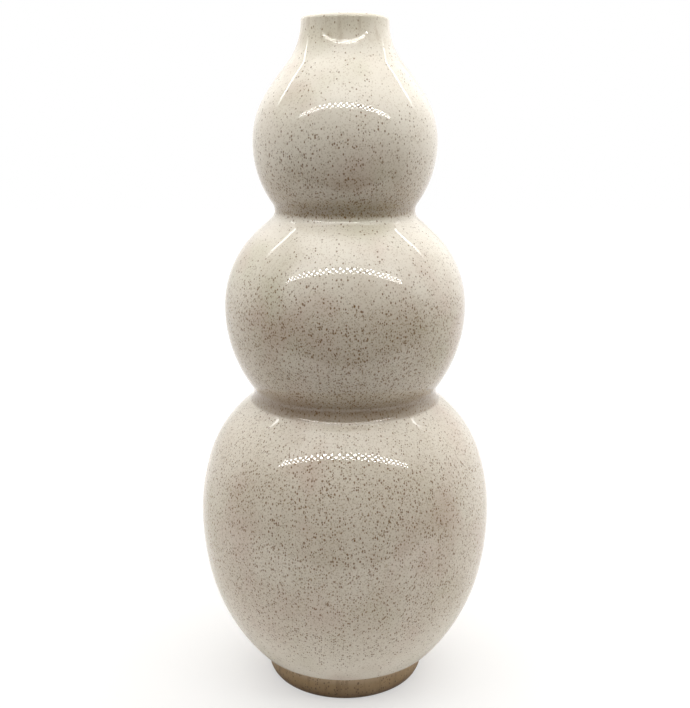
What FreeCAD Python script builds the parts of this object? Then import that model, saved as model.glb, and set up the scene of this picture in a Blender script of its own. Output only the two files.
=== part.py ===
import FreeCAD, Part
import math
import os

# Gourd vase of three bulbs, thrown in sections on a wheel and luted together with slip.
# Millimetres, +Z up. The origin is the centre of the ring that the vase stands on.

# Clay wall and slip
wall = 6.0
floor_thickness = 7.5
floor_round = 18.0
slip_gap = 0.8

# Tongue and groove of each luted waist
groove_depth = 1.8
groove_width = 2.8

# Turned foot ring, let into a shallow seat under the lower bulb
foot_height = 19.0
foot_radius = 49.4
foot_wall = 9.0
foot_bevel_run = 1.7
foot_bevel_rise = 3.4
foot_seat_depth = 1.2
foot_cove = 1.4

# Lower bulb: flat base with a rounded edge, then belly, crown and shoulder.
# An angle is how far round its arc a stretch reaches from the bulb's widest ring.
base_radius = 59.8
base_round = 3.0
lower_equator_rise = 88.0
lower_radius = 89.0
lower_belly_radius = 169.0
lower_belly_angle = 10.3
lower_crown_radius = 119.0
lower_crown_angle = 17.4
lower_shoulder_radius = 71.3
lower_waist_round = 8.0

# Middle bulb
middle_equator_rise = 128.4
middle_radius = 71.7
middle_belly_radius = 81.0
middle_crown_radius = 60.8
middle_crown_angle = 46.0
middle_shoulder_radius = 149.8
upper_waist_round = 6.5

# Upper bulb, drawn up into the collared neck
upper_equator_rise = 95.2
upper_radius = 53.4
upper_belly_radius = 59.1
upper_crown_radius = 51.4
upper_crown_angle = 32.5
neck_sweep = 35.5
neck_wall = 5.0
lip_rise = 69.4
lip_radius = 25.0
bore_length = 12.0

# Heights that follow from the rises
base_z = foot_height
lower_equator_z = base_z + lower_equator_rise
middle_equator_z = lower_equator_z + middle_equator_rise
upper_equator_z = middle_equator_z + upper_equator_rise
rim_z = upper_equator_z + lip_rise

# Foot ring and the seat that it is let into
foot_inner_radius = foot_radius - foot_wall
seat_z = base_z + foot_seat_depth
ring_top_z = seat_z - slip_gap

upward = math.pi / 2
inward = math.pi


class Arc:
    """A round stretch of a section, from one angle of its outward normal to another.

    A hollow stretch has a negative radius, so that the same offset suits either kind.
    """

    def __init__(self, centre, radius, start, end):
        self.centre = centre
        self.radius = radius
        self.start = start
        self.end = end

    def at(self, angle, offset=0):
        return beyond(self.centre, angle, self.radius + offset)

    def angle_at(self, height, offset=0):
        return math.asin((height - self.centre[1]) / (self.radius + offset))

    def edge(self, offset=0, start=None, end=None):
        start = self.start if start is None else start
        end = self.end if end is None else end
        places = [self.at(angle, offset) for angle in (start, (start + end) / 2, end)]
        return Part.Arc(*[vector(place) for place in places]).toShape()


def vector(place):
    return FreeCAD.Vector(place[0], 0, place[1])


def beyond(place, angle, reach):
    return place[0] + reach * math.cos(angle), place[1] + reach * math.sin(angle)


def bearing(first, second):
    return math.atan2(second[1] - first[1], second[0] - first[0])


def arc_onto(place, angle, goal):
    """The arc that leaves a place square to this angle and runs smoothly into the goal arc."""
    span = math.dist(place, goal.centre)
    along = span * math.cos(angle - bearing(goal.centre, place))
    radius = (span ** 2 - goal.radius ** 2) / (2 * (along - goal.radius))
    centre = beyond(place, angle, -radius)
    return Arc(centre, radius, angle, bearing(centre, goal.centre))


def waist_between(below, above, round_radius):
    """The hollow round that touches the shoulder below and the belly above, which then end at it."""
    low_reach = below.radius + round_radius
    high_reach = above.radius + round_radius
    span = math.dist(below.centre, above.centre)
    turn = math.acos((span ** 2 + low_reach ** 2 - high_reach ** 2) / (2 * span * low_reach))
    below.end = bearing(below.centre, above.centre) - turn
    centre = beyond(below.centre, below.end, low_reach)
    above.start = bearing(above.centre, centre)
    return Arc(centre, -round_radius, below.end, above.start)


def arc_at_widest(radius, height, arc_radius, angle):
    """An arc through a bulb's widest ring, down from it where the angle is negative."""
    reach = math.radians(angle)
    return Arc((radius - arc_radius, height), arc_radius, min(reach, 0), max(reach, 0))


def arc_after(arc, radius):
    """The shoulder that goes on smoothly from a crown. What stands on it says where it ends."""
    return Arc(beyond(arc.at(arc.end), arc.end, -radius), radius, arc.end, upward)


# Outline of the clay, from the base to the middle of the lip
base_edge = Arc((base_radius - base_round, base_z + base_round), base_round, -upward, 0)
lower_belly = arc_at_widest(lower_radius, lower_equator_z, lower_belly_radius, -lower_belly_angle)
flank = arc_onto(lower_belly.at(lower_belly.start), lower_belly.start, base_edge)
flank.start, flank.end = flank.end, flank.start
base_edge.end = flank.start
lower_crown = arc_at_widest(lower_radius, lower_equator_z, lower_crown_radius, lower_crown_angle)
lower_shoulder = arc_after(lower_crown, lower_shoulder_radius)

middle_belly = arc_at_widest(middle_radius, middle_equator_z, middle_belly_radius, 0)
middle_crown = arc_at_widest(middle_radius, middle_equator_z, middle_crown_radius, middle_crown_angle)
middle_shoulder = arc_after(middle_crown, middle_shoulder_radius)
lower_waist = waist_between(lower_shoulder, middle_belly, lower_waist_round)

upper_belly = arc_at_widest(upper_radius, upper_equator_z, upper_belly_radius, 0)
upper_crown = arc_at_widest(upper_radius, upper_equator_z, upper_crown_radius, upper_crown_angle)
upper_waist = waist_between(middle_shoulder, upper_belly, upper_waist_round)

lip_round = neck_wall / 2
lip = Arc((lip_radius - lip_round, rim_z - lip_round), lip_round, 0, inward)
neck = Arc((lip_radius + neck_sweep, rim_z - lip_round), -neck_sweep, upward, 0)
upper_shoulder = arc_onto(upper_crown.at(upper_crown.end), upper_crown.end, neck)
neck.start = upper_shoulder.end

# Inside, the same arcs lie one wall further in, down to a round at the floor
floor_z = base_z + floor_thickness
corner_z = floor_z + floor_round
corner_reach = flank.radius - wall - floor_round
corner_angle = math.asin((corner_z - flank.centre[1]) / corner_reach)
floor_corner = Arc(beyond(flank.centre, corner_angle, corner_reach), floor_round, -upward, corner_angle)

# The throat spreads from the foot of the bore onto the inside of the upper shoulder
bore_radius = lip_radius - neck_wall
bore_foot = (bore_radius, rim_z - lip_round - bore_length)
inner_shoulder = Arc(upper_shoulder.centre, wall - upper_shoulder.radius, inward, 0)
throat = arc_onto(bore_foot, -inward, inner_shoulder)


def line(first, second):
    return Part.LineSegment(vector(first), vector(second)).toShape()


def path(places):
    return [line(first, second) for first, second in zip(places, places[1:])]


def run(arcs, offset, start, end):
    """The edges of a row of arcs, the first from this angle and the last up to that one."""
    starts = [start] + [None] * (len(arcs) - 1)
    ends = [None] * (len(arcs) - 1) + [end]
    return [arc.edge(offset, first, last) for arc, first, last in zip(arcs, starts, ends)]


def run_between(arcs, offset, low_z, high_z):
    return run(arcs, offset, arcs[0].angle_at(low_z, offset), arcs[-1].angle_at(high_z, offset))


def turned(edges):
    """The solid that a closed section sweeps round the wheel's axis."""
    section = Part.Face(Part.Wire(edges))
    return section.revolve(FreeCAD.Vector(0, 0, 0), FreeCAD.Vector(0, 0, 1), 360)


def luted_face(waist, height):
    """The V of a waist joint at this height, from the outer wall to the inner one."""
    outer_r = waist.at(waist.angle_at(height))[0]
    inner_r = waist.at(waist.angle_at(height, -wall), -wall)[0]
    middle_r = (outer_r + inner_r) / 2
    half_width = groove_width / 2
    return [(outer_r, height),
            (middle_r + half_width, height),
            (middle_r, height - groove_depth),
            (middle_r - half_width, height),
            (inner_r, height)]


def groove_height(waist):
    return waist.centre[1] - slip_gap / 2


def tongue_height(waist):
    return waist.centre[1] + slip_gap / 2


def waist_slip(waist):
    """The chevron ring of slip that a waist joint squeezes between its grooved rim and its tongue."""
    low_z, high_z = groove_height(waist), tongue_height(waist)
    outside = run_between([waist], 0, low_z, high_z)
    inside = run_between([waist], -wall, low_z, high_z)
    return turned(outside + path(luted_face(waist, high_z)) + inside + path(luted_face(waist, low_z)))


def foot_ring():
    return turned(path([
        (foot_inner_radius, foot_bevel_rise),
        (foot_inner_radius + foot_bevel_run, 0),
        (foot_radius - foot_bevel_run, 0),
        (foot_radius, foot_bevel_rise),
        (foot_radius, ring_top_z),
        (foot_inner_radius, ring_top_z),
        (foot_inner_radius, foot_bevel_rise)]))


def foot_slip():
    """The slip round the ring's top: it fills the seat and is smoothed to a cove at both corners."""
    cove = slip_gap + foot_cove
    cove_z = base_z - cove
    outer_cove = Arc((foot_radius + cove, cove_z), -cove, 0, -upward)
    inner_cove = Arc((foot_inner_radius - cove, cove_z), -cove, -upward, -inward)
    seat = path([
        (foot_radius + cove, base_z),
        (foot_radius + slip_gap, base_z),
        (foot_radius + slip_gap, seat_z),
        (foot_inner_radius - slip_gap, seat_z),
        (foot_inner_radius - slip_gap, base_z),
        (foot_inner_radius - cove, base_z)])
    ring = path([
        (foot_inner_radius, cove_z),
        (foot_inner_radius, ring_top_z),
        (foot_radius, ring_top_z),
        (foot_radius, cove_z)])
    return turned([outer_cove.edge()] + seat + [inner_cove.edge()] + ring)


def lower_bulb():
    groove_z = groove_height(lower_waist)
    body = [flank, lower_belly, lower_crown, lower_shoulder, lower_waist]
    underside = path([
        (0, base_z),
        (foot_inner_radius - slip_gap, base_z),
        (foot_inner_radius - slip_gap, seat_z),
        (foot_radius + slip_gap, seat_z),
        (foot_radius + slip_gap, base_z),
        (base_edge.centre[0], base_z)])
    outside = [base_edge.edge()] + run(body, 0, None, lower_waist.angle_at(groove_z))
    inside = run(body, -wall, floor_corner.end, lower_waist.angle_at(groove_z, -wall))
    floor = path([(floor_corner.centre[0], floor_z), (0, floor_z), (0, base_z)])
    return turned(underside + outside + path(luted_face(lower_waist, groove_z)) + inside[::-1]
                  + [floor_corner.edge()] + floor)


def middle_bulb():
    tongue_z, groove_z = tongue_height(lower_waist), groove_height(upper_waist)
    body = [lower_waist, middle_belly, middle_crown, middle_shoulder, upper_waist]
    outside = run_between(body, 0, tongue_z, groove_z)
    inside = run_between(body, -wall, tongue_z, groove_z)
    return turned(outside + path(luted_face(upper_waist, groove_z)) + inside[::-1]
                  + path(luted_face(lower_waist, tongue_z)[::-1]))


def upper_bulb():
    tongue_z = tongue_height(upper_waist)
    body = [upper_waist, upper_belly, upper_crown, upper_shoulder]
    outside = run(body + [neck, lip], 0, upper_waist.angle_at(tongue_z), None)
    bore = [line((bore_radius, lip.centre[1]), bore_foot), throat.edge()]
    inside = run(body, -wall, upper_waist.angle_at(tongue_z, -wall), throat.end + inward)
    return turned(outside + bore + inside[::-1] + path(luted_face(upper_waist, tongue_z)[::-1]))


shapes = {
    "foot_ring": foot_ring(),
    "foot_slip": foot_slip(),
    "lower_bulb": lower_bulb(),
    "lower_waist_slip": waist_slip(lower_waist),
    "middle_bulb": middle_bulb(),
    "upper_waist_slip": waist_slip(upper_waist),
    "upper_bulb": upper_bulb(),
}
os.makedirs("parts", exist_ok=True)
for name, shape in shapes.items():
    shape.exportStep("parts/" + name + ".step")
    print(name, "volume", round(shape.Volume), "mm3, valid", shape.isValid())
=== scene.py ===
import math

import bmesh
import bpy
from mathutils import Matrix, Vector, noise
from mathutils.bvhtree import BVHTree


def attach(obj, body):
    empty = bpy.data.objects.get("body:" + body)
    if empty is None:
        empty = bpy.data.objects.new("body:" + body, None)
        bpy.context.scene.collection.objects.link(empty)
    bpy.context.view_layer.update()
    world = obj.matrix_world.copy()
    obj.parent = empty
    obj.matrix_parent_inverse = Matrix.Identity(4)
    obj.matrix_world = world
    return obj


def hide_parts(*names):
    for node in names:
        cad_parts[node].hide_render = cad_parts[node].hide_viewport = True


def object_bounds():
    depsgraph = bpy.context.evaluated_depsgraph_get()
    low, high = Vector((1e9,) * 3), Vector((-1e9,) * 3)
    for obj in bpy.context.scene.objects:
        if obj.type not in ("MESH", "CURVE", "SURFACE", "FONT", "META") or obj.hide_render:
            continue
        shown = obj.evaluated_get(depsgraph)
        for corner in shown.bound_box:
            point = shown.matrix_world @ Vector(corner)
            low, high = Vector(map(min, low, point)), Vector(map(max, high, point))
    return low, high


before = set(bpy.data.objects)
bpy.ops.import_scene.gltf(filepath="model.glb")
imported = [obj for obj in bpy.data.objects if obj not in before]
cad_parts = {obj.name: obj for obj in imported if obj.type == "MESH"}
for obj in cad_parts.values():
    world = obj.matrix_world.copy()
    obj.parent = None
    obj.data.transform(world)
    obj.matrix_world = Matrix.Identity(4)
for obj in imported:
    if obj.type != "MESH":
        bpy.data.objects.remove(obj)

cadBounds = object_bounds()
mm = 0.001
tiny = 0.001 * mm                      # points closer than this are one
quarterTurn = math.pi / 2
halfTurn = math.pi
print("frame loaded:", len(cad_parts), "nodes")


# Outline of the vase: three bulbs, foot and neck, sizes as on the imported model

vase = {
    "wall": 6.0 * mm,
    "floorThickness": 7.5 * mm,
    "floorRound": 18.0 * mm,
    "footHeight": 19.0 * mm,
    "footRadius": 49.4 * mm,
    "footCove": 2.2 * mm,
    "baseRadius": 59.8 * mm,
    "baseRound": 3.0 * mm,
    "lowerRise": 88.0 * mm,            # from the base to the widest ring
    "lowerRadius": 89.0 * mm,
    "lowerBellyRadius": 169.0 * mm,
    "lowerBellyAngle": 10.3,           # degrees from the widest ring
    "lowerCrownRadius": 119.0 * mm,
    "lowerCrownAngle": 17.4,
    "lowerShoulderRadius": 71.3 * mm,
    "lowerWaistRound": 8.0 * mm,
    "middleRise": 128.4 * mm,          # from widest ring to widest ring
    "middleRadius": 71.7 * mm,
    "middleBellyRadius": 81.0 * mm,
    "middleCrownRadius": 60.8 * mm,
    "middleCrownAngle": 46.0,
    "middleShoulderRadius": 149.8 * mm,
    "upperWaistRound": 6.5 * mm,
    "upperRise": 95.2 * mm,
    "upperRadius": 53.4 * mm,
    "upperBellyRadius": 59.1 * mm,
    "upperCrownRadius": 51.4 * mm,
    "upperCrownAngle": 32.5,
    "neckSweep": 35.5 * mm,
    "neckWall": 5.0 * mm,
    "lipRise": 69.4 * mm,              # from the upper bulb's widest ring to the top
    "lipRadius": 25.0 * mm,
    "boreLength": 12.0 * mm,
}


class Arc:
    # a round stretch of the section, given by the angles of its outward normal;
    # hollow ones have a negative radius
    def __init__(self, centre, radius, start, end):
        self.centre, self.radius, self.start, self.end = centre, radius, start, end

    def at(self, angle, offset=0.0):
        return beyond(self.centre, angle, self.radius + offset)


def beyond(place, angle, reach):
    return place[0] + reach * math.cos(angle), place[1] + reach * math.sin(angle)


def bearing(first, second):
    return math.atan2(second[1] - first[1], second[0] - first[0])


def stop(place, angle):
    return Arc(place, 0.0, angle, angle)


def arcOnto(place, angle, goal):
    # leaves the place square to the angle and runs smoothly into the goal arc
    span = math.dist(place, goal.centre)
    along = span * math.cos(angle - bearing(goal.centre, place))
    radius = (span ** 2 - goal.radius ** 2) / (2 * (along - goal.radius))
    centre = beyond(place, angle, -radius)
    return Arc(centre, radius, angle, bearing(centre, goal.centre))


def waistBetween(below, above, roundRadius):
    # the hollow round that touches both bulbs, which then end at it
    lowReach = below.radius + roundRadius
    highReach = above.radius + roundRadius
    span = math.dist(below.centre, above.centre)
    swing = math.acos((span ** 2 + lowReach ** 2 - highReach ** 2) / (2 * span * lowReach))
    below.end = bearing(below.centre, above.centre) - swing
    centre = beyond(below.centre, below.end, lowReach)
    above.start = bearing(above.centre, centre)
    return Arc(centre, -roundRadius, below.end, above.start)


def arcAtWidest(bulb, height, kind, degrees):
    # starts or ends at the bulb's widest ring, by the sign of its degrees
    reach = math.radians(degrees)
    radius = vase[bulb + kind + "Radius"]
    return Arc((vase[bulb + "Radius"] - radius, height), radius, min(reach, 0), max(reach, 0))


def arcAfter(arc, radius):
    # runs on smoothly from the end of an arc
    return Arc(beyond(arc.at(arc.end), arc.end, -radius), radius, arc.end, quarterTurn)


def airSide(arc, wall=0.0):
    # the same stretch one wall further in, facing the air inside
    # and run through from the top down
    return Arc(arc.centre, wall - arc.radius, arc.end + halfTurn, arc.start + halfTurn)


baseZ = vase["footHeight"]
lowerZ = baseZ + vase["lowerRise"]
middleZ = lowerZ + vase["middleRise"]
upperZ = middleZ + vase["upperRise"]
rimZ = upperZ + vase["lipRise"]

baseCentre = (vase["baseRadius"] - vase["baseRound"], baseZ + vase["baseRound"])
baseEdge = Arc(baseCentre, vase["baseRound"], -quarterTurn, 0)
lowerBelly = arcAtWidest("lower", lowerZ, "Belly", -vase["lowerBellyAngle"])
flank = arcOnto(lowerBelly.at(lowerBelly.start), lowerBelly.start, baseEdge)
flank.start, flank.end = flank.end, flank.start
baseEdge.end = flank.start
lowerCrown = arcAtWidest("lower", lowerZ, "Crown", vase["lowerCrownAngle"])
lowerShoulder = arcAfter(lowerCrown, vase["lowerShoulderRadius"])
middleBelly = arcAtWidest("middle", middleZ, "Belly", 0)
middleCrown = arcAtWidest("middle", middleZ, "Crown", vase["middleCrownAngle"])
middleShoulder = arcAfter(middleCrown, vase["middleShoulderRadius"])
lowerWaist = waistBetween(lowerShoulder, middleBelly, vase["lowerWaistRound"])
upperBelly = arcAtWidest("upper", upperZ, "Belly", 0)
upperCrown = arcAtWidest("upper", upperZ, "Crown", vase["upperCrownAngle"])
upperWaist = waistBetween(middleShoulder, upperBelly, vase["upperWaistRound"])

lipRound = vase["neckWall"] / 2
lipZ = rimZ - lipRound
lip = Arc((vase["lipRadius"] - lipRound, lipZ), lipRound, 0, halfTurn)
neck = Arc((vase["lipRadius"] + vase["neckSweep"], lipZ), -vase["neckSweep"], quarterTurn, 0)
upperShoulder = arcOnto(upperCrown.at(upperCrown.end), upperCrown.end, neck)
neck.start = upperShoulder.end
boreFoot = (vase["lipRadius"] - vase["neckWall"], lipZ - vase["boreLength"])
throat = arcOnto(boreFoot, -halfTurn, airSide(upperShoulder, vase["wall"]))

floorZ = baseZ + vase["floorThickness"]
cornerZ = floorZ + vase["floorRound"]
cornerReach = flank.radius - vase["wall"] - vase["floorRound"]
cornerAngle = math.asin((cornerZ - flank.centre[1]) / cornerReach)
cornerCentre = beyond(flank.centre, cornerAngle, cornerReach)
floorCorner = Arc(cornerCentre, vase["floorRound"], -quarterTurn, cornerAngle)

coveZ = baseZ - vase["footCove"]
footCove = Arc((vase["footRadius"] + vase["footCove"], coveZ), -vase["footCove"], 0, -quarterTurn)

bulbArcs = [flank, lowerBelly, lowerCrown, lowerShoulder, lowerWaist, middleBelly, middleCrown,
            middleShoulder, upperWaist, upperBelly, upperCrown, upperShoulder]
gap = max(abs(rimZ - cadBounds[1].z), abs(vase["lowerRadius"] - cadBounds[1].x))
print("outline drawn, off the frame by", round(gap / mm, 3), "mm")


# Sections are wires in the XZ plane, drawn stretch by stretch and turned about the upright axis

class Pen:
    def __init__(self, mesh, step):
        self.mesh, self.step, self.last = mesh, step, None
        self.finest = math.radians(8)      # no step of an arc turns further

    def lineTo(self, place):
        goal = Vector((place[0], 0, place[1]))
        if self.last is None:
            self.last = self.mesh.verts.new(goal)
            return
        way = goal - self.last.co
        if way.length < tiny:
            return
        steps = math.ceil(way.length / self.step)
        for count in range(steps):
            self.last = bmesh.ops.extrude_vert_indiv(self.mesh, verts=[self.last])["verts"][0]
            self.last.co += way / steps

    def follow(self, arc, offset):
        self.lineTo(arc.at(arc.start, offset))
        sweep = arc.end - arc.start
        if not sweep:
            return
        length = abs(sweep * (arc.radius + offset))
        steps = math.ceil(max(length / self.step, abs(sweep) / self.finest))
        centre = (arc.centre[0], 0, arc.centre[1])
        made = bmesh.ops.spin(self.mesh, geom=[self.last], cent=centre, axis=(0, -1, 0),
                              angle=sweep, steps=steps)
        self.last = next(part for part in made["geom_last"] if isinstance(part, bmesh.types.BMVert))


def drawPath(mesh, path, offset, step):
    pen = Pen(mesh, step)
    for arc in path:
        pen.follow(arc, offset)


def turn(mesh, segments):
    bmesh.ops.remove_doubles(mesh, verts=mesh.verts, dist=2 * tiny)
    bmesh.ops.spin(mesh, geom=mesh.verts[:] + mesh.edges[:], cent=(0, 0, 0), axis=(0, 0, 1),
                   angle=2 * math.pi, steps=segments, use_merge=True)
    bmesh.ops.remove_doubles(mesh, verts=mesh.verts, dist=2 * tiny)
    bmesh.ops.recalc_face_normals(mesh, faces=mesh.faces)


def addObject(name, mesh, material):
    data = bpy.data.meshes.new(name)
    mesh.to_mesh(data)
    mesh.free()
    data.materials.append(material)
    made = bpy.data.objects.new(name, data)
    bpy.context.scene.collection.objects.link(made)
    return made


def finishPiece(name, mesh, material, nodes=(), sharpAngle=40):
    piece = addObject(name, mesh, material)
    piece.data.shade_smooth()
    piece.data.set_sharp_from_angle(angle=math.radians(sharpAngle))
    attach(piece, "root")
    if nodes:
        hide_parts(*nodes)
    print("made", name, "with", len(piece.data.polygons), "faces")


# Shader maths: a Wire is a socket that takes part in plain expressions

class Wire:
    def __init__(self, recipe, socket):
        self.recipe, self.socket = recipe, socket

    def __add__(self, other):
        return self.recipe.maths("ADD", self, other)

    def __sub__(self, other):
        return self.recipe.maths("SUBTRACT", self, other)

    def __rsub__(self, other):
        return self.recipe.maths("SUBTRACT", other, self)

    def __mul__(self, other):
        return self.recipe.maths("MULTIPLY", self, other)

    def __truediv__(self, other):
        return self.recipe.maths("DIVIDE", self, other)

    def __pow__(self, other):
        return self.recipe.maths("POWER", self, other)

    __radd__ = __add__
    __rmul__ = __mul__


class Recipe:
    # the nodes of one material, or of the world
    def __init__(self, owner, ending="ShaderNodeOutputMaterial"):
        owner.use_nodes = True
        self.owner, self.tree, self.ending = owner, owner.node_tree, ending
        self.tree.nodes.clear()
        self.place = self.node("ShaderNodeTexCoord", output="Object")

    def node(self, kind, settings=None, inputs=None, output=0):
        made = self.tree.nodes.new(kind)
        for name, value in (settings or {}).items():
            if name == "stops":
                self.setStops(made.color_ramp, value)
            else:
                setattr(made, name, value)
        for key, value in (inputs or {}).items():
            if isinstance(value, Wire):
                self.tree.links.new(value.socket, made.inputs[key])
            else:
                made.inputs[key].default_value = value
        return Wire(self, made.outputs[output]) if made.outputs else None

    def setStops(self, ramp, stops):
        ramp.interpolation = "EASE"
        while len(ramp.elements) < len(stops):
            ramp.elements.new(1.0)
        for element, (position, value) in zip(ramp.elements, stops):
            element.position = position
            element.color = (value, value, value, 1)

    def maths(self, operation, *values):
        return self.node("ShaderNodeMath", {"operation": operation}, dict(enumerate(values)))

    def fade(self, value, low, high):
        # 0 at low, 1 at high, smooth between
        return self.node("ShaderNodeMapRange", {"interpolation_type": "SMOOTHSTEP"},
                         {0: value, 1: low, 2: high})

    def step(self, value, middle, blur):
        return self.fade(value, middle - blur, middle + blur)

    def mix(self, share, first, second):
        return self.node("ShaderNodeMix", {"data_type": "RGBA"}, {0: share, 6: first, 7: second}, 2)

    def along(self, axis):
        # one of the object's own coordinates
        return self.node("ShaderNodeSeparateXYZ", inputs={0: self.place}, output=axis)

    def away(self, x, y):
        return (x * x + y * y) ** 0.5

    def noise(self, scale, detail=2.0, stretch=(1, 1, 1), offset=(0, 0, 0)):
        place = self.node("ShaderNodeMapping", inputs={0: self.place, 1: offset, 3: stretch})
        return self.node("ShaderNodeTexNoise", inputs={"Vector": place, "Scale": scale, "Detail": detail})

    def dots(self, pitch, radius, share, stretch=(1, 1, 1), offset=(0, 0, 0)):
        # round specks of uneven size, at most one to a cell, in the given share of the cells
        place = self.node("ShaderNodeMapping", inputs={0: self.place, 1: offset, 3: stretch})
        cells = {"Vector": place, "Scale": 1 / pitch, "Randomness": 1.0}
        away = self.node("ShaderNodeTexVoronoi", inputs=cells, output="Distance")
        colour = self.node("ShaderNodeTexVoronoi", inputs=cells, output="Color")
        chance = self.node("ShaderNodeSeparateColor", inputs={0: colour}, output="Red")
        size = self.node("ShaderNodeSeparateColor", inputs={0: colour}, output="Green") * 0.6 + 0.55
        edge = away * (pitch / radius) / size
        return self.fade(edge, 1.15, 0.6) * self.fade(chance - share, 0.04, -0.04)

    def finish(self, shader):
        self.node(self.ending, inputs={0: shader})
        return self.owner


def materialRecipe(name):
    return Recipe(bpy.data.materials.new(name))


def rgb(red, green, blue):
    # the linear colour of one written as on a screen, 0 to 255
    parts = [value / 255 for value in (red, green, blue)]
    return tuple(p / 12.92 if p <= 0.04045 else ((p + 0.055) / 1.055) ** 2.4 for p in parts) + (1.0,)


streakStretch = (1, 1, 0.15)           # draws noise out into upright streaks


# Glaze: glossy cream with iron specks, browner and more speckled on the lower half of each bulb; part of
# that brown is painted shade, and the waist creases get painted shade too

glaze = {
    "thickness": 0.4 * mm,
    "lowestOnFoot": 14.9 * mm,         # where the coat ends on the foot's wall
    "edgeWander": 0.5 * mm,
    "edgeWaves": ((2.3, 1.0), (7.0, 0.5)),         # how close and how high, round the foot
    "unevenness": 0.10 * mm,
    "unevenPitch": 34.0 * mm,
    "unevenMean": 0.6,                 # share of the unevenness, and how far it swings
    "unevenSwing": 0.4,
    "airStep": 2.0 * mm,
    "clayStep": 7.0 * mm,
    "segments": 224,
    "cream": rgb(231, 224, 210),
    "tan": rgb(186, 170, 148),
    "brown": rgb(128, 104, 76),
    "olive": rgb(186, 182, 152),
    "rose": rgb(200, 176, 162),
    "speckBrown": rgb(112, 76, 30),
    "speckOlive": rgb(138, 106, 50),
    "cloudScale": 38,                  # noise scales are per metre
    "driftScale": 21,
    "warmScale": 27,
    "patchScale": 60,
    "grainScale": 900,
    "fineSpeck": (0.85 * mm, 0.42 * mm),           # pitch of the cells and radius of a speck
    "middlingSpeck": (1.15 * mm, 0.52 * mm),
    "largeSpeck": (2.1 * mm, 0.68 * mm),
    "speckStretch": (1, 1, 0.75),      # specks run a little down the wall
    "middlingStretch": (1, 1, 0.7),
    "creaseShades": (                         # painted shade in each waist's crease: how far below the waist's middle it reaches, and how dark
        (lowerWaist, (6.0 * mm, 4.4 * mm), 0.55),
        (upperWaist, (2.0 * mm, -1.0 * mm), 0.2),
    ),
    "creaseShadeTop": (12.0 * mm, 2.0 * mm),  # above the waist's middle, where the painted crease shade starts
    "neckBand": (20.0 * mm, 13.0 * mm),            # below the rim, where the neck's tan starts
    "lipBand": (0.5 * mm, 2.5 * mm),   # and where it ends
    "neckTan": rgb(208, 190, 160),
    "streak": rgb(156, 132, 98),
    "streakScale": 300,
    "footTan": 1.0 * mm,               # below the base, where the foot's tan starts
    "roughness": 0.015,
    "roughnessSwing": 0.015,
    "roughnessScale": 50,
    "refraction": 1.58,
}

# how strongly the glaze has run, by height: at each bulb's foot, widest ring and top; the value is partly
# painted shade, browner on each bulb's underside and darkest in the waist creases
runAndShadeByHeight = [
    (baseZ, 0.0),
    (lowerZ - 30 * mm, 0.55),
    (lowerZ + 35 * mm, 0.48),
    # the rises at the waists are painted shade in the creases
    (lowerWaist.centre[1] - 4 * mm, 0.25),
    (lowerWaist.centre[1], 0.72),
    (middleZ, 0.6),
    (middleZ + 30 * mm, 0.15),
    (upperWaist.centre[1] - 3 * mm, 0.04),
    (upperWaist.centre[1], 0.8),
    (upperZ, 0.3),
    (upperZ + 24 * mm, 0.05),
    (rimZ, 0.0),
]


def glazeRunAndShade(recipe, height):
    stops = [(mark / rimZ, value) for mark, value in runAndShadeByHeight]
    ramp = recipe.node("ShaderNodeValToRGB", {"stops": stops}, {0: height / rimZ})
    return recipe.node("ShaderNodeRGBToBW", inputs={0: ramp})


def glazeTone(recipe, runAndShade):
    # cream to tan by how far the glaze has run and by the painted shade in that value, with olive and rose
    # clouds
    cloud = recipe.noise(glaze["cloudScale"], 3.0)
    drift = recipe.noise(glaze["driftScale"], offset=(0.4, 0.1, 0.7))
    warm = recipe.noise(glaze["warmScale"], offset=(0.9, 0.6, 0.2))
    colour = recipe.mix(runAndShade * 0.8 + (cloud - 0.5) * 0.6, glaze["cream"], glaze["tan"])
    colour = recipe.mix(recipe.fade(drift, 0.48, 0.72) * 0.4, colour, glaze["olive"])
    colour = recipe.mix(recipe.fade(warm, 0.50, 0.72) * 0.4, colour, glaze["rose"])
    # deepest brown where the value peaks at the waists: painted shade in the creases
    return recipe.mix(recipe.fade(runAndShade, 0.7, 1.0) * 0.2, colour, glaze["brown"])


def glazeSpecks(recipe, runAndShade, colour):
    # three sizes of speck over a fine grain, in drifts and thicker where the glaze has run
    patches = recipe.noise(glaze["patchScale"], 3.0, offset=(0.3, 0.3, 0.9))
    share = runAndShade * 0.9 + (patches - 0.5) * 0.7 - 0.04
    fine = recipe.dots(*glaze["fineSpeck"], share * 0.7 + 0.42, glaze["speckStretch"])
    middling = recipe.dots(*glaze["middlingSpeck"], share * 0.95 + 0.10, glaze["middlingStretch"],
                           offset=(0.3, 0.2, 0.1))
    large = recipe.dots(*glaze["largeSpeck"], share * 0.28, glaze["speckStretch"],
                        offset=(0.1, 0.7, 0.5))
    grain = recipe.fade(recipe.noise(glaze["grainScale"]), 0.54, 0.68)
    colour = recipe.mix(grain * (runAndShade * 0.3 + 0.08), colour, glaze["speckOlive"])
    colour = recipe.mix(fine * (runAndShade * 0.35 + 0.25), colour, glaze["speckOlive"])
    colour = recipe.mix(middling * 0.8, colour, glaze["speckBrown"])
    return recipe.mix(large * 0.72, colour, glaze["speckBrown"])


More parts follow.
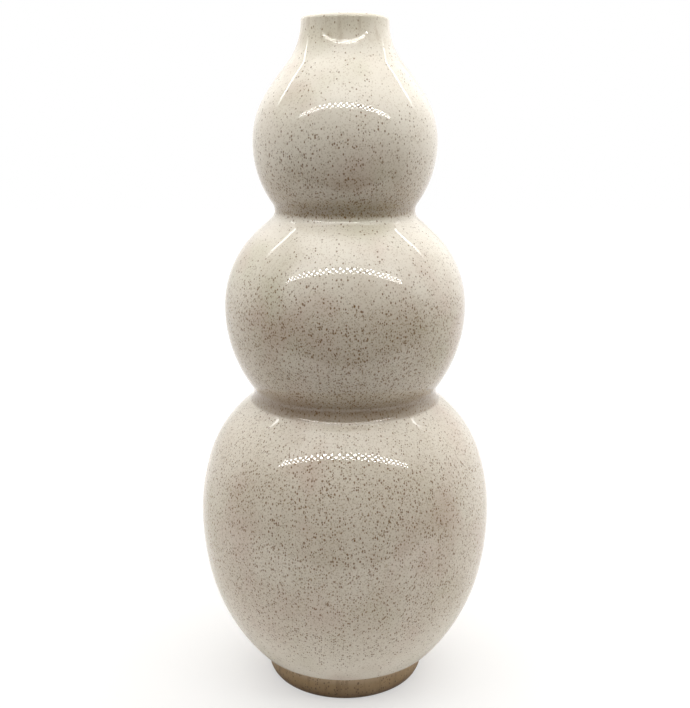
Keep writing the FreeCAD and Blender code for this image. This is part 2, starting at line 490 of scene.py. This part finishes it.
def glazeMaterial():
    recipe = materialRecipe("speckled cream glaze")
    height = recipe.along("Z")
    runAndShade = glazeRunAndShade(recipe, height)
    colour = glazeSpecks(recipe, runAndShade, glazeTone(recipe, runAndShade))
    # painted shade: each waist's crease darkened with the glaze's brown
    for waist, reach, depth in glaze["creaseShades"]:
        z = waist.centre[1]
        creaseShade = recipe.fade(height, z - reach[0], z - reach[1])
        creaseShade *= recipe.fade(height, z + glaze["creaseShadeTop"][0], z + glaze["creaseShadeTop"][1])
        colour = recipe.mix(creaseShade * depth, colour, glaze["brown"])

    neckBand = recipe.fade(height, rimZ - glaze["neckBand"][0], rimZ - glaze["neckBand"][1])
    neckBand *= recipe.fade(height, rimZ - glaze["lipBand"][0], rimZ - glaze["lipBand"][1])
    streaks = recipe.fade(recipe.noise(glaze["streakScale"], stretch=streakStretch), 0.48, 0.72)
    colour = recipe.mix(neckBand * 0.12, colour, glaze["neckTan"])
    colour = recipe.mix(neckBand * streaks * 0.3, colour, glaze["streak"])
    footTan = recipe.fade(height, baseZ - glaze["footTan"], glaze["lowestOnFoot"])
    colour = recipe.mix(footTan * 0.7, colour, glaze["tan"])

    roughness = recipe.noise(glaze["roughnessScale"]) * glaze["roughnessSwing"] + glaze["roughness"]
    return recipe.finish(recipe.node("ShaderNodeBsdfPrincipled", inputs={
        "Base Color": colour, "Roughness": roughness, "IOR": glaze["refraction"]}))


# The coat's paths: outside from the foot up over the lip, inside from the bore down to the floor

footEdge = glaze["lowestOnFoot"]
bead = Arc((vase["footRadius"] - glaze["thickness"] / 2, footEdge), glaze["thickness"] / 2, -halfTurn, 0)
outsidePath = [footCove, baseEdge] + bulbArcs + [neck, lip, stop(boreFoot, halfTurn)]
insidePath = [stop(boreFoot, halfTurn), throat]
insidePath += [airSide(arc, vase["wall"]) for arc in bulbArcs[::-1]]
insidePath[2].start = throat.end + 2 * halfTurn    # the shoulder starts where the throat ends
insidePath[-1].end = floorCorner.end + halfTurn    # and the flank ends at the floor's corner
insidePath += [airSide(floorCorner), stop((0.0, floorZ), quarterTurn)]


def airSurface():
    # the vase's whole glazed surface as an open shell, to tell the clay's walls from its joint faces
    mesh = bmesh.new()
    drawPath(mesh, [stop((vase["footRadius"], 0.0), 0)] + outsidePath, 0.0, glaze["airStep"])
    drawPath(mesh, insidePath, 0.0, glaze["airStep"])
    turn(mesh, glaze["segments"])
    tree = BVHTree.FromBMesh(mesh)
    mesh.free()
    return tree


def coat(airPath, clayPath):
    # a closed skin of glaze between two paths, with the uneven surface of fired glaze on the air side
    mesh = bmesh.new()
    air = mesh.verts.layers.float.new("air")
    drawPath(mesh, airPath, 0.0, glaze["airStep"])
    for vert in mesh.verts:
        vert[air] = 1.0
    airEnds = [vert for vert in mesh.verts if len(vert.link_edges) == 1]
    drawPath(mesh, clayPath, -glaze["thickness"], glaze["clayStep"])
    clayEnds = [vert for vert in mesh.verts if len(vert.link_edges) == 1 and not vert[air]]
    for vert in airEnds:
        # the two sides meet where the coat ends, but not on the vase's axis
        near = min(clayEnds, key=lambda other: (other.co - vert.co).length)
        if 10 * tiny < (near.co - vert.co).length < 2 * glaze["thickness"] and vert.co.x > mm:
            mesh.edges.new((vert, near))
    turn(mesh, glaze["segments"])
    mesh.normal_update()
    for vert in mesh.verts:
        if vert[air] > 0.5:
            swell = noise.noise(vert.co / glaze["unevenPitch"]) * glaze["unevenSwing"] + glaze["unevenMean"]
            vert.co -= vert.normal * glaze["unevenness"] * swell
    return mesh


def waveFootEdge(mesh):
    # the coat's lower edge runs a little up and down round the foot
    for vert in mesh.verts:
        if vert.co.z < coveZ:
            around = Vector((vert.co.x, vert.co.y, 0)).normalized()
            wander = sum(height * noise.noise(around * pitch) for pitch, height in glaze["edgeWaves"])
            share = min(1.0, (coveZ - vert.co.z) / (coveZ - footEdge))
            vert.co.z += share * glaze["edgeWander"] * wander


cream = glazeMaterial()
outerCoat = coat([bead] + outsidePath, [stop((vase["footRadius"], footEdge), 0)] + outsidePath)
waveFootEdge(outerCoat)
finishPiece("outer_glaze", outerCoat, cream)
finishPiece("inner_glaze", coat(insidePath, insidePath), cream)


# Clay under the glaze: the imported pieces, their walls drawn in by the glaze's thickness

clay = {
    "body": rgb(176, 152, 124),
    "pale": rgb(198, 178, 150),
    "dark": rgb(128, 102, 76),
    "cloudScale": 45,
    "grit": (1.7 * mm, 0.4 * mm),      # pitch and radius
    "grainScale": 1400,
    "grainHeight": 0.2 * mm,
    "wallTolerance": 0.12 * mm,        # a point this near the glazed surface is on a wall
    "sharpAngle": 30,
}


def clayMaterial():
    recipe = materialRecipe("bare clay")
    cloud = recipe.noise(clay["cloudScale"], 4.0)
    colour = recipe.mix(cloud, clay["body"], clay["pale"])
    colour = recipe.mix(recipe.dots(*clay["grit"], 0.3) * 0.6, colour, clay["dark"])
    grain = recipe.noise(clay["grainScale"], 3.0)
    bump = recipe.node("ShaderNodeBump", inputs={
        "Strength": 0.25, "Distance": clay["grainHeight"], "Height": grain})
    return recipe.finish(recipe.node("ShaderNodeBsdfPrincipled", inputs={
        "Base Color": colour, "Roughness": cloud * 0.1 + 0.7, "IOR": 1.45, "Normal": bump}))


def clayUnderGlaze(node, name):
    mesh = bmesh.new()
    mesh.from_mesh(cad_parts[node].data)
    bmesh.ops.remove_doubles(mesh, verts=mesh.verts, dist=tiny)
    for vert in mesh.verts:
        _, normal, _, away = glazedTree.find_nearest(vert.co)
        if away < clay["wallTolerance"]:
            vert.co -= normal * glaze["thickness"]
    finishPiece(name, mesh, bareClay, [node], clay["sharpAngle"])


glazedTree = airSurface()
bareClay = clayMaterial()
for node in ("lower_bulb", "middle_bulb", "upper_bulb"):
    clayUnderGlaze(node, node + "_clay")
for node in ("foot_slip", "lower_waist_slip", "upper_waist_slip"):
    clayUnderGlaze(node, node + "_ring")


# Foot ring: turned, brown washed, with painted shade deepening the brown towards the bottom, and with
# rounded corners

foot = {
    "wall": 9.0 * mm,
    "bevelRun": 1.7 * mm,
    "bevelRise": 3.4 * mm,
    "cornerRound": 0.9 * mm,
    "cornerSteps": 4,
    "cornerAngle": 20,                 # degrees from which an edge is a corner
    "seatDepth": 1.2 * mm,
    "slipGap": 0.8 * mm,
    "step": 1.5 * mm,
    "tan": rgb(206, 184, 154),
    "brown": rgb(170, 142, 104),
    # the deep brown serves both the painted shade low on the foot and the drip streaks
    "shadeAndStreak": rgb(104, 80, 52),
    "footShadeBand": (9.0 * mm, 1.0 * mm),  # heights between which the brown deepens towards the bottom, painted shade of the foot's wall
    "tanReach": 6.5 * mm,              # how far the paler band reaches down from the glaze
    "cloudScale": 60,
    "streakScale": 420,
    "speck": rgb(66, 48, 32),
    "specks": (1.3 * mm, 0.55 * mm),   # pitch and radius
    "speckStretch": (1, 1, 0.7),
    "ringScale": 700,
    "ringStretch": (0.02, 0.02, 1),    # draws noise out into turning marks
    "ringHeight": 0.2 * mm,
}


def footMaterial():
    recipe = materialRecipe("brown washed clay")
    height = recipe.along("Z")
    cloud = recipe.noise(foot["cloudScale"], 3.0)
    streaks = recipe.fade(recipe.noise(foot["streakScale"], stretch=streakStretch), 0.5, 0.7)
    # painted shade: the brown deepens towards the bottom of the foot's wall
    colour = recipe.mix(recipe.fade(height, *foot["footShadeBand"]) * 0.8, foot["brown"], foot["shadeAndStreak"])
    colour = recipe.mix((cloud - 0.45) * 0.6, colour, foot["tan"])
    paler = recipe.fade(height, footEdge - foot["tanReach"], footEdge)
    colour = recipe.mix(paler * 0.9, colour, foot["tan"])
    colour = recipe.mix(streaks * 0.3, colour, foot["shadeAndStreak"])
    specks = recipe.dots(*foot["specks"], 0.5, foot["speckStretch"])
    colour = recipe.mix(specks * 0.6, colour, foot["speck"])
    rings = recipe.noise(foot["ringScale"], stretch=foot["ringStretch"])
    bump = recipe.node("ShaderNodeBump", inputs={
        "Strength": 0.2, "Distance": foot["ringHeight"], "Height": rings})
    return recipe.finish(recipe.node("ShaderNodeBsdfPrincipled", inputs={
        "Base Color": colour, "Roughness": cloud * 0.2 + 0.32, "IOR": 1.5, "Normal": bump}))


def footRing():
    mesh = bmesh.new()
    outer = vase["footRadius"] - glaze["thickness"]
    inner = vase["footRadius"] - foot["wall"]
    top = baseZ + foot["seatDepth"] - foot["slipGap"]
    pen = Pen(mesh, foot["step"])
    for corner in ((inner, foot["bevelRise"]), (inner + foot["bevelRun"], 0),
                   (outer - foot["bevelRun"], 0), (outer, foot["bevelRise"]),
                   (outer, top), (inner, top), (inner, foot["bevelRise"])):
        pen.lineTo(corner)
    turn(mesh, glaze["segments"])
    sharp = [edge for edge in mesh.edges if edge.calc_face_angle(0) > math.radians(foot["cornerAngle"])]
    bmesh.ops.bevel(mesh, geom=sharp, offset=foot["cornerRound"], offset_type="OFFSET", affect="EDGES",
                    segments=foot["cornerSteps"], profile=0.5, material=-1)
    return mesh


finishPiece("foot_ring_turned", footRing(), footMaterial(), ["foot_ring"])


# Stage: a white table-top tent, open to the front, with a bar of small lamps along its front top edge

stage = {
    "white": (1, 1, 1, 1),
    "floorSize": 6.0,
    "floorDrop": 0.1 * mm,
    "floorColour": (0.83, 0.82, 0.81, 1),
    "tableColour": (0.10, 0.10, 0.10, 1),
    "tentFloor": 0.30,                 # how far the white floor reaches before the dark table
    "tentFloorBlur": 0.03,
    "whiteLevel": 1.1,
    "whiteNear": 0.45,                 # share of plain white that the camera sees on the floor by the vase
    "whiteBand": (0.14, 0.27),         # distances from the vase between which that grows to all
    "roomLevel": 0.10,
    "lampColour": (1, 0.99, 0.97, 1),
    "topHeight": 1.08,
    "topWidth": 2.0,
    "topFront": -0.60,
    "topBack": 1.0,
    "topLevel": 1.84,
    "sideAway": 0.5,
    "sideStart": -0.28,
    "sideBack": 1.0,
    "sideFrom": (0.20, 0.80),          # heights between which the front part of a side brightens
    "rearFrom": (-0.30, 0.12),         # and depths between which all of it does
    "sideShare": 0.75,
    "edgeShare": 0.35,                 # what is added behind the edge
    "edgeFoot": -0.15,                 # the edge leans back, from this depth at the floor
    "edgeTop": 0.33,                   # to this one at the top
    "edgeBlur": 0.01,
    "leftLevel": 1.35,
    "rightLevel": 1.7,
    "backLevel": 1.15,
    "stripOff": 0.01,                  # a strip of light stands this far in from the side, at its edge
    "stripWidth": 0.030,
    "stripFoot": 0.50,                 # height where it starts
    "stripFade": 0.25,
    "stripLevel": 8.0,
    "barPlace": (-0.02, -0.66, 1.06),
    "barAim": (0, 0, 0.25),
    "barSize": (2.6, 0.138),
    "barPitch": 0.105,
    "barLevel": 7.2,                   # what it lights with
    "dotColour": (1, 0.98, 0.95, 1),
    "dotEdge": (0.23, 0.15),           # shares of the pitch between which a dot fills up
    "dotLevel": 34.0,                  # what shows in the glaze
}
edgeLean = (stage["edgeTop"] - stage["edgeFoot"]) / stage["topHeight"]


def floorMaterial():
    recipe = materialRecipe("pale floor")
    x, y = recipe.along("X"), recipe.along("Y")
    far = recipe.fade(recipe.away(x, y), *stage["whiteBand"])
    share = far * (1 - stage["whiteNear"]) + stage["whiteNear"]
    edge = recipe.step(y, -stage["tentFloor"], stage["tentFloorBlur"])
    colour = recipe.mix(edge, stage["tableColour"], stage["floorColour"])
    plain = recipe.node("ShaderNodeBsdfDiffuse", inputs={0: colour})
    white = recipe.node("ShaderNodeEmission", inputs={0: stage["white"], 1: stage["whiteLevel"]})
    camera = recipe.node("ShaderNodeLightPath", output="Is Camera Ray")
    return recipe.finish(recipe.node("ShaderNodeMixShader", inputs={0: camera * share, 1: plain, 2: white}))


def glow(recipe, level, colour="lampColour"):
    return recipe.finish(recipe.node("ShaderNodeEmission", inputs={0: stage[colour], 1: level}))


def lightMaterial(name, level):
    return glow(materialRecipe(name), level)


def sideMaterial(name, level):
    # brighter above and to the rear, and behind the leaning edge
    recipe = materialRecipe(name)
    depth, height = recipe.along("Y"), recipe.along("Z")
    high = recipe.fade(height, *stage["sideFrom"])
    rear = recipe.fade(depth, *stage["rearFrom"])
    behind = recipe.step(depth - height * edgeLean, stage["edgeFoot"], stage["edgeBlur"]) * high
    share = (high + rear - high * rear) * stage["sideShare"] + behind * stage["edgeShare"]
    return glow(recipe, share * level)


def stripMaterial():
    recipe = materialRecipe("edge strip")
    lit = recipe.fade(recipe.along("Z"), stage["stripFoot"], stage["stripFoot"] + stage["stripFade"])
    return glow(recipe, lit * stage["stripLevel"])


def lampDotMaterial():
    # rows half a pitch apart, every other one moved along by half a pitch
    recipe = materialRecipe("lamp dots")
    across = recipe.along("Y") / (stage["barPitch"] / 2)
    sideways = recipe.along("X") / stage["barPitch"] + recipe.maths("FLOOR", across) * 0.5
    x = recipe.maths("FRACT", sideways) - 0.5
    y = (recipe.maths("FRACT", across) - 0.5) * 0.5
    level = recipe.fade(recipe.away(x, y), *stage["dotEdge"]) * stage["dotLevel"]
    return glow(recipe, level, "dotColour")


def sheet(name, corner, along, across, material, seen=False):
    # a flat panel, given by one corner and the two sides that leave it,
    # and hidden from the camera unless it is to be seen
    along, across = Vector(along), Vector(across)
    sides = Matrix((along, across, along.cross(across))).transposed().to_4x4()
    middle = Matrix.Translation(Vector(corner) + (along + across) / 2)
    mesh = bmesh.new()
    bmesh.ops.create_grid(mesh, x_segments=1, y_segments=1, size=0.5, matrix=middle @ sides)
    panel = addObject(name, mesh, material)
    panel.visible_camera = seen
    return panel


def lampSheet(name, material):
    # the bar is there twice, once for the light that it gives and once for what shows in the glaze
    width, depth = stage["barSize"]
    bar = sheet(name, (-width / 2, -depth / 2, 0), (width, 0, 0), (0, depth, 0), material)
    bar.location = stage["barPlace"]
    bar.rotation_euler = (Vector(stage["barAim"]) - bar.location).to_track_quat("-Z", "Y").to_euler()
    bar.visible_shadow = False
    return bar


def makeStage():
    size = stage["floorSize"]
    sheet("floor", (-size / 2, -size / 2, -stage["floorDrop"]), (size, 0, 0), (0, size, 0),
          floorMaterial(), seen=True)

    top, away, back = stage["topHeight"], stage["sideAway"], stage["sideBack"]
    sheet("tent_top", (-stage["topWidth"] / 2, stage["topFront"], top), (stage["topWidth"], 0, 0),
          (0, stage["topBack"] - stage["topFront"], 0), lightMaterial("tent top", stage["topLevel"]))
    sheet("tent_back", (-away, back, 0), (2 * away, 0, 0), (0, 0, top),
          lightMaterial("tent back", stage["backLevel"]))
    stripGlow, start = stripMaterial(), stage["stripFoot"]
    for side, word in ((-1, "left"), (1, "right")):
        sheet("tent_" + word, (side * away, stage["sideStart"], 0), (0, 0, top),
              (0, back - stage["sideStart"], 0), sideMaterial("tent " + word, stage[word + "Level"]))
        corner = (side * (away - stage["stripOff"]), stage["edgeFoot"] + start * edgeLean, start)
        sheet("strip_" + word, corner, (0, (top - start) * edgeLean, top - start),
              (0, stage["stripWidth"], 0), stripGlow)

    lampSheet("lamp_bar", lightMaterial("lamp bar", stage["barLevel"])).visible_glossy = False
    lampSheet("lamp_dots", lampDotMaterial()).visible_diffuse = False


def makeRoom():
    # white to the camera and dim for all else
    recipe = Recipe(bpy.data.worlds.new("room"), "ShaderNodeOutputWorld")
    camera = recipe.node("ShaderNodeLightPath", output="Is Camera Ray")
    level = camera * (1 - stage["roomLevel"]) + stage["roomLevel"]
    background = recipe.node("ShaderNodeBackground", inputs={0: stage["white"], 1: level})
    bpy.context.scene.world = recipe.finish(background)


# Camera: level with the upper bulb and a little above it, looking slightly down

view = {
    "distance": 0.5787,
    "height": 0.3482,
    "pitch": 13.88,                    # degrees below level
    "sensor": 36.0,
    "focalPixels": 981.0,
    "framePixels": (690, 708),
    "clip": (0.01, 50),
}


def makeCamera():
    data = bpy.data.cameras.new("camera")
    data.sensor_width = view["sensor"]
    data.lens = view["focalPixels"] * view["sensor"] / max(view["framePixels"])
    data.clip_start, data.clip_end = view["clip"]
    camera = bpy.data.objects.new("camera", data)
    bpy.context.scene.collection.objects.link(camera)
    camera.location = (0, -view["distance"], view["height"])
    camera.rotation_euler = (math.radians(90 - view["pitch"]), 0, 0)
    bpy.context.scene.camera = camera


makeStage()
makeRoom()
makeCamera()
bpy.context.scene.view_settings.view_transform = "Standard"
print("stage and camera made")
